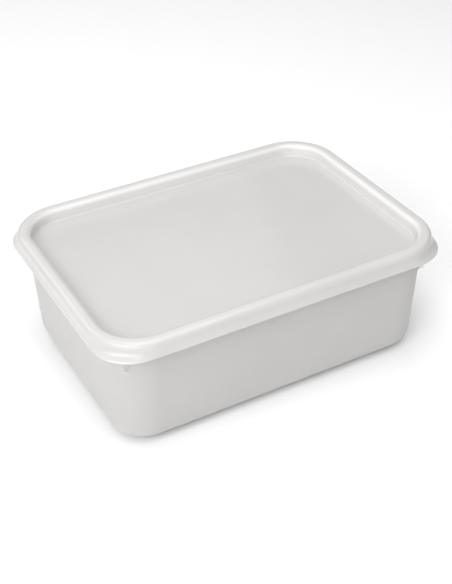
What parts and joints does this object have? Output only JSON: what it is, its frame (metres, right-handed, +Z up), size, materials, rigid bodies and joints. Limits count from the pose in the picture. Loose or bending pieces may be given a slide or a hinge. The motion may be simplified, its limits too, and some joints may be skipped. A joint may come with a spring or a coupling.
{
  "type": "ice cream tub",
  "caption": "Shut rectangular plastic tub with rounded corners, drafted walls and a press-on lid whose raised ridge frames a sunk flat panel.",
  "frame": {"origin": "centre of the underside that the tub stands on", "axes": "+X along the long side, +Y along the short side, +Z up"},
  "size_m": [0.22, 0.1586, 0.0786],
  "materials": {
    "tub": "milky white polypropylene, soft sheen",
    "lid": "milky white polypropylene, half gloss"
  },
  "bodies": {
    "root": {"tub": "tub", "lid": "lid"}
  },
  "joints": []
}
